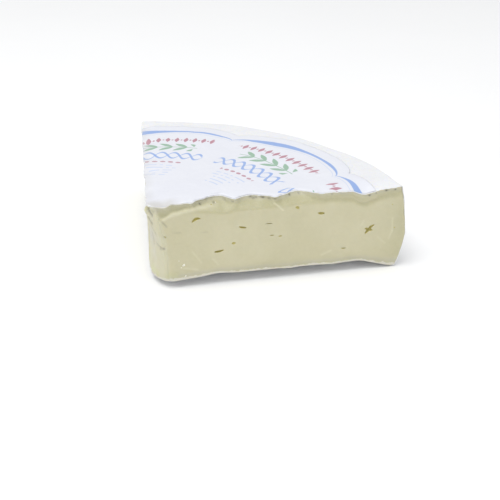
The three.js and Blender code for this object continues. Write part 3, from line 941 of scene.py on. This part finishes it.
label = {
    # Its outline on the whole wheel, in millimetres: the radius, the depth of its lobes and the first notch
    "radius": 96.0, "scallop": 8.0, "lobes": 8, "lobePower": 0.6, "firstNotchDegrees": 10.0,
    "tip": 0.012, "inset": 0.08, "ragged": (2.2, 0.35),
    "rows": (190, 200, 1), "crowding": (0.0, 0.45, 0.0),
    # How it lies on the rind: closer at the cuts, lifted a little at its outer edge, wrinkled
    "above": 0.13, "thickness": 0.14, "edgeShare": 0.35, "edgeReach": 3.0, "liftedEdge": 0.25,
    "wrinkles": [(16, 0.16), (5, 0.05)], "crinkles": (1.3, 0.1), "crinkleReach": 5.0,
    # Painted shade on it: along the front edge at the point, and a little along the left edge
    "edgeShadeReach": 6.5, "edgeShadeEnds": (5, 15), "edgeShadeLeft": 0.3, "edgeShadeLeftReach": 4.0,
    "paper": (0.775, 0.785, 0.83), "paperShade": (0.745, 0.755, 0.81), "edgeShade": (0.58, 0.565, 0.53),
    "blue": (0.235, 0.375, 0.71), "paleBlue": (0.52, 0.61, 0.81), "red": (0.42, 0.12, 0.17),
    "green": (0.23, 0.42, 0.27), "roughness": (0.4, 0.5),
    # The border inside the edge, and the thin line inside it
    "border": {"start": 5.5, "thinnest": 0.8, "swell": 3.5, "skewedSwell": 2.3, "power": 2.2,
               "line": 0.5, "gap": 1.2},
    # Rows of drops: ring, count, shift, half width, half height, power, share of the lobe, ink and strength
    "motifs": [
        (77.5, 116, 0.0, 1.15, 2.9, 1.2, 0.93, "red", 0.8),
        (77.5, 116, 0.5, 0.55, 0.75, 1.5, 0.93, "red", 0.7),
        (49.5, 92, 0.25, 1.2, 0.85, 2.0, 0.7, "red", 0.7),
    ],
    "sprig": {"ring": 68.0, "count": 64, "leafOut": 2.3, "leaf": (3.7, 1.25), "tilt": 0.62, "stem": 1.35},
    "braid": {"ring": 57.5, "waves": 34.0, "rise": 3.2, "width": 1.85, "swell": 0.35},
    "dashes": {"rings": (45.0, 42.2, 39.4, 36.6, 33.8), "width": 1.1, "length": 1.3, "gaps": 0.3},
}


def lobeShare(turn):
    # 0 at the notches and 1 in the middle of a lobe
    phase = label["lobes"] * (turn - math.radians(label["firstNotchDegrees"])) / 2
    return np.abs(np.sin(phase)) ** label["lobePower"]


def buildLabelMesh():
    shares, quads = boxLattice(label["rows"], label["crowding"])
    along, across, up = shares.T
    turn = cutAngle * across
    radius = label["radius"] - label["scallop"] * (1 - lobeShare(turn))
    radius = radius * (label["tip"] + (1 - label["tip"]) * along)
    flat = np.stack([radius * np.cos(turn), radius * np.sin(turn), np.zeros(len(turn))], -1)
    size, ragged = label["ragged"]
    inset = label["inset"] + ragged * (0.5 + 0.5 * softNoise(flat, size, 60))
    corner = inset * (1 + alongLeft[0]) / alongLeft[1]
    plain = flat + np.stack([corner, inset, np.full(len(turn), cheese["height"])], -1)
    share = np.clip((np.hypot(plain[:, 0], plain[:, 1]) - cheese["sharpTop"]) / cheese["topRadius"], 0, 1)
    places = relax(roundEdges(plain, share))
    fromFront, fromLeft = flat[:, 1], flat @ leftInward
    fromCut = np.minimum(fromFront, fromLeft)
    full = label["edgeShare"] + (1 - label["edgeShare"]) * smoothStep(0, label["edgeReach"], fromCut)
    places[:, 2] += layeredNoise(relax(plain.copy()), cheese["rindRelief"], 40)
    places[:, 2] += (label["above"] + label["thickness"] * up) * full
    onPlane = np.array([1, 1, 0])
    lifted = smoothStep(0.9, 1.0, along) * (0.5 + 0.5 * softNoise(flat, 9, 61))
    wrinkle = np.maximum(layeredNoise(places * onPlane, label["wrinkles"], 62), 0)
    places[:, 2] += label["liftedEdge"] * lifted + wrinkle * smoothStep(0, 4, places[:, 1])
    size, height = label["crinkles"]
    nearCut = smoothStep(0, 0.5, fromCut) * (1 - smoothStep(0.3, label["crinkleReach"], fromCut))
    places[:, 2] += height * np.maximum(softNoise(places * onPlane, size, 64, (1, 3.5, 1)), 0) * nearCut
    sheet = makeMesh("paperLabel", places, quads, origin)
    setAttribute(sheet, "printPlace", plain, "FLOAT_VECTOR")
    # Painted shade near the front edge at the point and along the left edge
    edgeShade = 1 - smoothStep(0, label["edgeShadeReach"], fromFront)
    edgeShade = edgeShade * (1 - smoothStep(*label["edgeShadeEnds"], flat[:, 0]))
    edgeShade = np.maximum(edgeShade, label["edgeShadeLeft"] * (1 - smoothStep(0, label["edgeShadeLeftReach"], fromLeft)))
    setAttribute(sheet, "edgeShadeShare", edgeShade * (0.85 + 0.15 * softNoise(flat, 2.5, 65)))
    return sheet


def labelPlaces(tree):
    # Where a place lies on the label: radius, angle, the share of its lobe and its distance from the edge
    flat = addNode(tree, "ShaderNodeAttribute", attribute_name="printPlace").outputs["Vector"]
    x, y, _ = addNode(tree, "ShaderNodeSeparateXYZ", {0: flat}).outputs
    radius = calc(tree, "SQRT", calc(tree, "MULTIPLY_ADD", x, x, calc(tree, "MULTIPLY", y, y)))
    angle = calc(tree, "ARCTAN2", y, x)
    fromNotch = calc(tree, "SUBTRACT", angle, math.radians(label["firstNotchDegrees"]))
    phase = calc(tree, "MULTIPLY", fromNotch, label["lobes"] / 2)
    lobe = calc(tree, "POWER", calc(tree, "ABSOLUTE", calc(tree, "SINE", phase)), label["lobePower"])
    edge = spread(tree, lobe, label["radius"] - label["scallop"], label["radius"])
    return {
        "radius": radius, "angle": angle, "phase": phase, "lobe": lobe,
        "fromEdge": calc(tree, "SUBTRACT", edge, radius),
        "offMiddle": calc(tree, "ABSOLUTE", calc(tree, "COSINE", phase)),
    }


def inLobe(tree, at, mask, limit):
    # Keeps a print to the middle of its lobe, where limit is 1 at the notches
    return calc(tree, "MULTIPLY", mask, ease(tree, at["offMiddle"], limit + 0.03, limit))


def band(tree, distance, start, width, softness):
    inputs = {"Distance": distance, "Start": start, "Width": width, "Softness": softness}
    return useGroup(tree, printedBand, inputs)["Mask"]


def motif(tree, at, radius, ring, stepRing, count, shift, halves, tilt, power):
    return useGroup(tree, ringMotif, {
        "Radius": radius, "Angle": at["angle"], "Ring": ring, "Step": 2 * math.pi * stepRing / count,
        "Count": float(count), "Shift": shift, "Half Width": halves[0], "Half Height": halves[1],
        "Tilt": tilt, "Power": power})["Mask"]


def borderPrints(tree, at):
    # Thick towards one end of each lobe
    border = label["border"]
    skew = calc(tree, "COSINE", calc(tree, "MULTIPLY_ADD", at["phase"], 2.0, 0.9))
    swell = calc(tree, "MULTIPLY_ADD", skew, border["skewedSwell"], border["swell"])
    width = calc(tree, "POWER", at["lobe"], border["power"])
    width = calc(tree, "MULTIPLY_ADD", width, swell, border["thinnest"])
    inner = calc(tree, "ADD", width, border["start"] + border["gap"])
    yield band(tree, at["fromEdge"], border["start"], width, 0.25), "blue", 0.9
    yield band(tree, at["fromEdge"], inner, border["line"], 0.2), "paleBlue", 0.7


def motifPrints(tree, at):
    for ring, count, shift, halfWidth, halfHeight, power, limit, ink, strength in label["motifs"]:
        mask = motif(tree, at, at["radius"], ring, ring, count, shift, (halfWidth, halfHeight), 0.0, power)
        yield inLobe(tree, at, mask, limit), ink, strength


def sprigPrints(tree, at):
    # Leaves on both sides of a thin stem
    sprig = label["sprig"]
    fromStem = calc(tree, "ABSOLUTE", calc(tree, "SUBTRACT", at["radius"], sprig["ring"]))
    leaves = motif(tree, at, fromStem, sprig["leafOut"], sprig["ring"], sprig["count"], 0.0,
                   sprig["leaf"], sprig["tilt"], 1.5)
    yield inLobe(tree, at, leaves, 0.74), "green", 0.85
    yield inLobe(tree, at, band(tree, fromStem, -1.0, sprig["stem"], 0.2), 0.8), "green", 0.8


def braidPrints(tree, at):
    # Two waves that cross
    braid = label["braid"]
    turns = calc(tree, "MULTIPLY", at["angle"], braid["waves"])
    fromRing = calc(tree, "SUBTRACT", at["radius"], braid["ring"])
    for side in (1.0, -1.0):
        wave = calc(tree, "MULTIPLY", calc(tree, "SINE", turns), braid["rise"] * side)
        distance = calc(tree, "ABSOLUTE", calc(tree, "SUBTRACT", fromRing, wave))
        width = calc(tree, "MULTIPLY_ADD", calc(tree, "COSINE", turns), braid["swell"] * side, braid["width"])
        yield inLobe(tree, at, band(tree, distance, -1.0, width, 0.25), 0.95), "blue", 0.85


def dashPrints(tree, at):
    # Rows of short pale dashes, each row a little shorter than the last
    dashes = label["dashes"]
    for i, ring in enumerate(dashes["rings"]):
        line = band(tree, at["radius"], ring, dashes["width"], 0.35)
        step = calc(tree, "FLOOR", calc(tree, "MULTIPLY", at["angle"], ring / dashes["length"]))
        number = calc(tree, "ADD", step, 50.0 * i)
        chance = addNode(tree, "ShaderNodeTexWhiteNoise", {"W": number}, noise_dimensions="1D")
        printed = calc(tree, "GREATER_THAN", chance.outputs["Value"], dashes["gaps"])
        mask = calc(tree, "MULTIPLY", line, printed)
        yield inLobe(tree, at, mask, 0.75 - 0.08 * i), "paleBlue", 0.75


def buildPaperMaterial():
    material, tree, shader = newMaterial("printedPaper")
    place = placeInMm(tree)
    paper = mottled(tree, place, (22.0, 2.5, 0.2), label["paper"], label["paperShade"])
    colour = paper["Color"]
    at = labelPlaces(tree)
    for prints in (borderPrints, motifPrints, sprigPrints, braidPrints, dashPrints):
        for mask, ink, strength in prints(tree, at):
            colour = blendColour(tree, calc(tree, "MULTIPLY", mask, strength), colour, label[ink])
    # Painted shade at the label's edges
    colour = blendColour(tree, attributeValue(tree, "edgeShadeShare"), colour, label["edgeShade"])
    setInputs(tree, shader, {
        "Base Color": colour,
        "Roughness": spread(tree, paper["Mask"], *label["roughness"]),
        "Normal": bumpNormal(tree, grained(tree, place, 5.0, 0.7, 0.15), 0.35, 0.0005),
    })
    return material


paperLabel = buildLabelMesh()
paperLabel.data.materials.append(buildPaperMaterial())
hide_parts("label")
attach(paperLabel, "root")
print("label:", len(paperLabel.data.polygons), "faces")

# Floor and lights, in metres

studio = {
    "floor": (0.965, 0.965, 0.96), "floorHalf": 6.0, "floorRoughness": 0.8,
    "world": (0.97, 0.98, 1.0), "worldStrength": 0.61,
    "key": {"from": (-0.4, -0.25, 1.3), "size": 1.0, "power": 11.6},
    "fill": {"from": (0.7, -0.6, 0.9), "size": 1.2, "power": 1.5},
    "lookAt": (0, 0, 0.02),
}


def buildFloor():
    half = studio["floorHalf"]
    mesh = bpy.data.meshes.new("studioFloor")
    corners = [(-half, -half, 0), (half, -half, 0), (half, half, 0), (-half, half, 0)]
    mesh.from_pydata(corners, [], [(0, 1, 2, 3)])
    floor = bpy.data.objects.new("studioFloor", mesh)
    bpy.context.scene.collection.objects.link(floor)
    material, tree, shader = newMaterial("paleFloor")
    shade = tuple(0.99 * c for c in studio["floor"])
    tint = mottled(tree, placeInMm(tree), (120.0, 6.0, 0.2), studio["floor"], shade)
    setInputs(tree, shader, {"Base Color": tint["Color"], "Roughness": studio["floorRoughness"]})
    mesh.materials.append(material)


def buildLights():
    world = bpy.data.worlds.new("softSky")
    world.use_nodes = True
    background = world.node_tree.nodes["Background"]
    background.inputs["Color"].default_value = (*studio["world"], 1)
    background.inputs["Strength"].default_value = studio["worldStrength"]
    bpy.context.scene.world = world
    for name in ("key", "fill"):
        settings = studio[name]
        lamp = bpy.data.lights.new(name + "Light", "AREA")
        lamp.energy = settings["power"]
        lamp.size = settings["size"]
        lampObject = bpy.data.objects.new(name + "Light", lamp)
        lampObject.location = settings["from"]
        direction = Vector(studio["lookAt"]) - Vector(settings["from"])
        lampObject.rotation_euler = direction.to_track_quat("-Z", "Y").to_euler()
        bpy.context.scene.collection.objects.link(lampObject)


# The camera's place is in millimetres from the point of the wedge

camera = {"place": (-37.6, -361.1, 193.8), "downDegrees": 25.95, "turnDegrees": -12.3, "lens": 72}


def buildCamera():
    data = bpy.data.cameras.new("photoCamera")
    data.lens = camera["lens"]
    data.sensor_width = 36
    data.clip_start = 0.01
    item = bpy.data.objects.new("photoCamera", data)
    item.location = (np.array(camera["place"]) + origin) * mm
    item.rotation_euler = (math.radians(90 - camera["downDegrees"]), 0, math.radians(camera["turnDegrees"]))
    bpy.context.scene.collection.objects.link(item)
    bpy.context.scene.camera = item


buildFloor()
buildLights()
buildCamera()
bpy.context.scene.view_settings.view_transform = "Standard"
print("studio: floor, two lights, camera")

bpy.context.view_layer.update()
